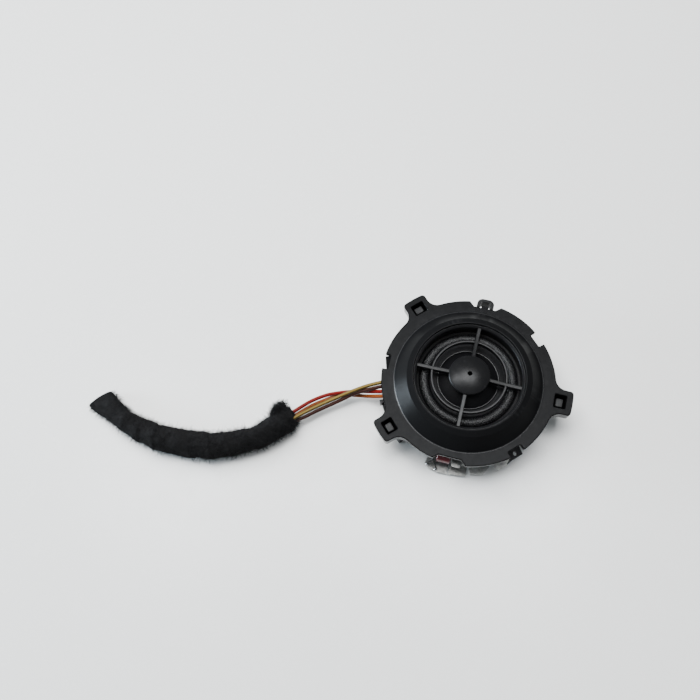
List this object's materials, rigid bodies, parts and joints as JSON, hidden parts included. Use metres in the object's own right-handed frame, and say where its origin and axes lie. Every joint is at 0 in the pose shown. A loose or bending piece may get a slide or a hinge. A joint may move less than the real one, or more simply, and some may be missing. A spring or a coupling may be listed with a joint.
{
  "type": "car tweeter",
  "caption": "Clip-in car dome tweeter: raised round bezel with slotted lugs, ringed grille, neodymium motor, series capacitor and a short felt-taped wire tail.",
  "frame": {"origin": "on the speaker's axis, at the rear cover's flat face", "axes": "+Z out of the grille along the speaker's axis, +X towards the single lug opposite the wires, +Y towards the snap loop"},
  "size_m": [0.1728, 0.0833, 0.0225],
  "materials": {
    "bezel_plastic": "fine-grained satin moulding",
    "grille_plastic": "smooth satin moulding",
    "frame_plastic": "satin moulding",
    "dome_textile": "doped weave",
    "surround_textile": "doped weave, wet look",
    "joint_glue": "glossy bead",
    "former_film": "amber film",
    "copper": "enamelled copper winding",
    "felt_pad": "grey felt",
    "foam": "open-cell foam",
    "plated_steel": "zinc plated",
    "magnet_nickel": "nickel plated",
    "tinned_steel": "tinned, bright",
    "rubber": "soft matte",
    "capacitor_red": "dipped lacquer",
    "lead_wire": "dull tinned wire",
    "solder": "solder",
    "wire_olive": "olive insulation with a pale stripe",
    "wire_brown": "brown insulation",
    "wire_red": "red insulation",
    "wire_orange": "orange insulation",
    "felt_tape": "fleece tape"
  },
  "bodies": {
    "frame": {"mounting_flange": "bezel_plastic", "grille": "grille_plastic", "clamp_gasket": "foam", "diaphragm_ring": "frame_plastic", "damping_pad": "felt_pad", "top_plate": "plated_steel", "magnet": "magnet_nickel", "motor_cup": "plated_steel", "rear_pad": "foam", "basket": "frame_plastic", "rear_cover": "frame_plastic", "wire_grommet": "rubber", "terminal_wire_in": "tinned_steel", "terminal_cap_out": "tinned_steel", "terminal_return": "tinned_steel", "terminal_link": "tinned_steel", "capacitor": "capacitor_red", "capacitor_seal": "rubber", "capacitor_leads": "lead_wire", "solder_joints": "solder", "inner_wires": "wire_olive", "wire_olive": "wire_olive", "wire_brown": "wire_brown", "wire_red": "wire_red", "wire_orange": "wire_orange", "felt_tape": "felt_tape"},
    "diaphragm": {"dome": "dome_textile", "surround": "surround_textile", "dome_joint_ring": "joint_glue", "coil_former": "former_film", "voice_coil": "copper", "lead_out_wires": "copper"}
  },
  "joints": [
    {"name": "diaphragm_stroke", "type": "slide", "parent": "frame", "child": "diaphragm", "axis": [0, 0, 1], "range_m": [-0.0003, 0.0003], "stiffness_N_per_m": 1500, "deforming": ["surround", "lead_out_wires"]}
  ]
}
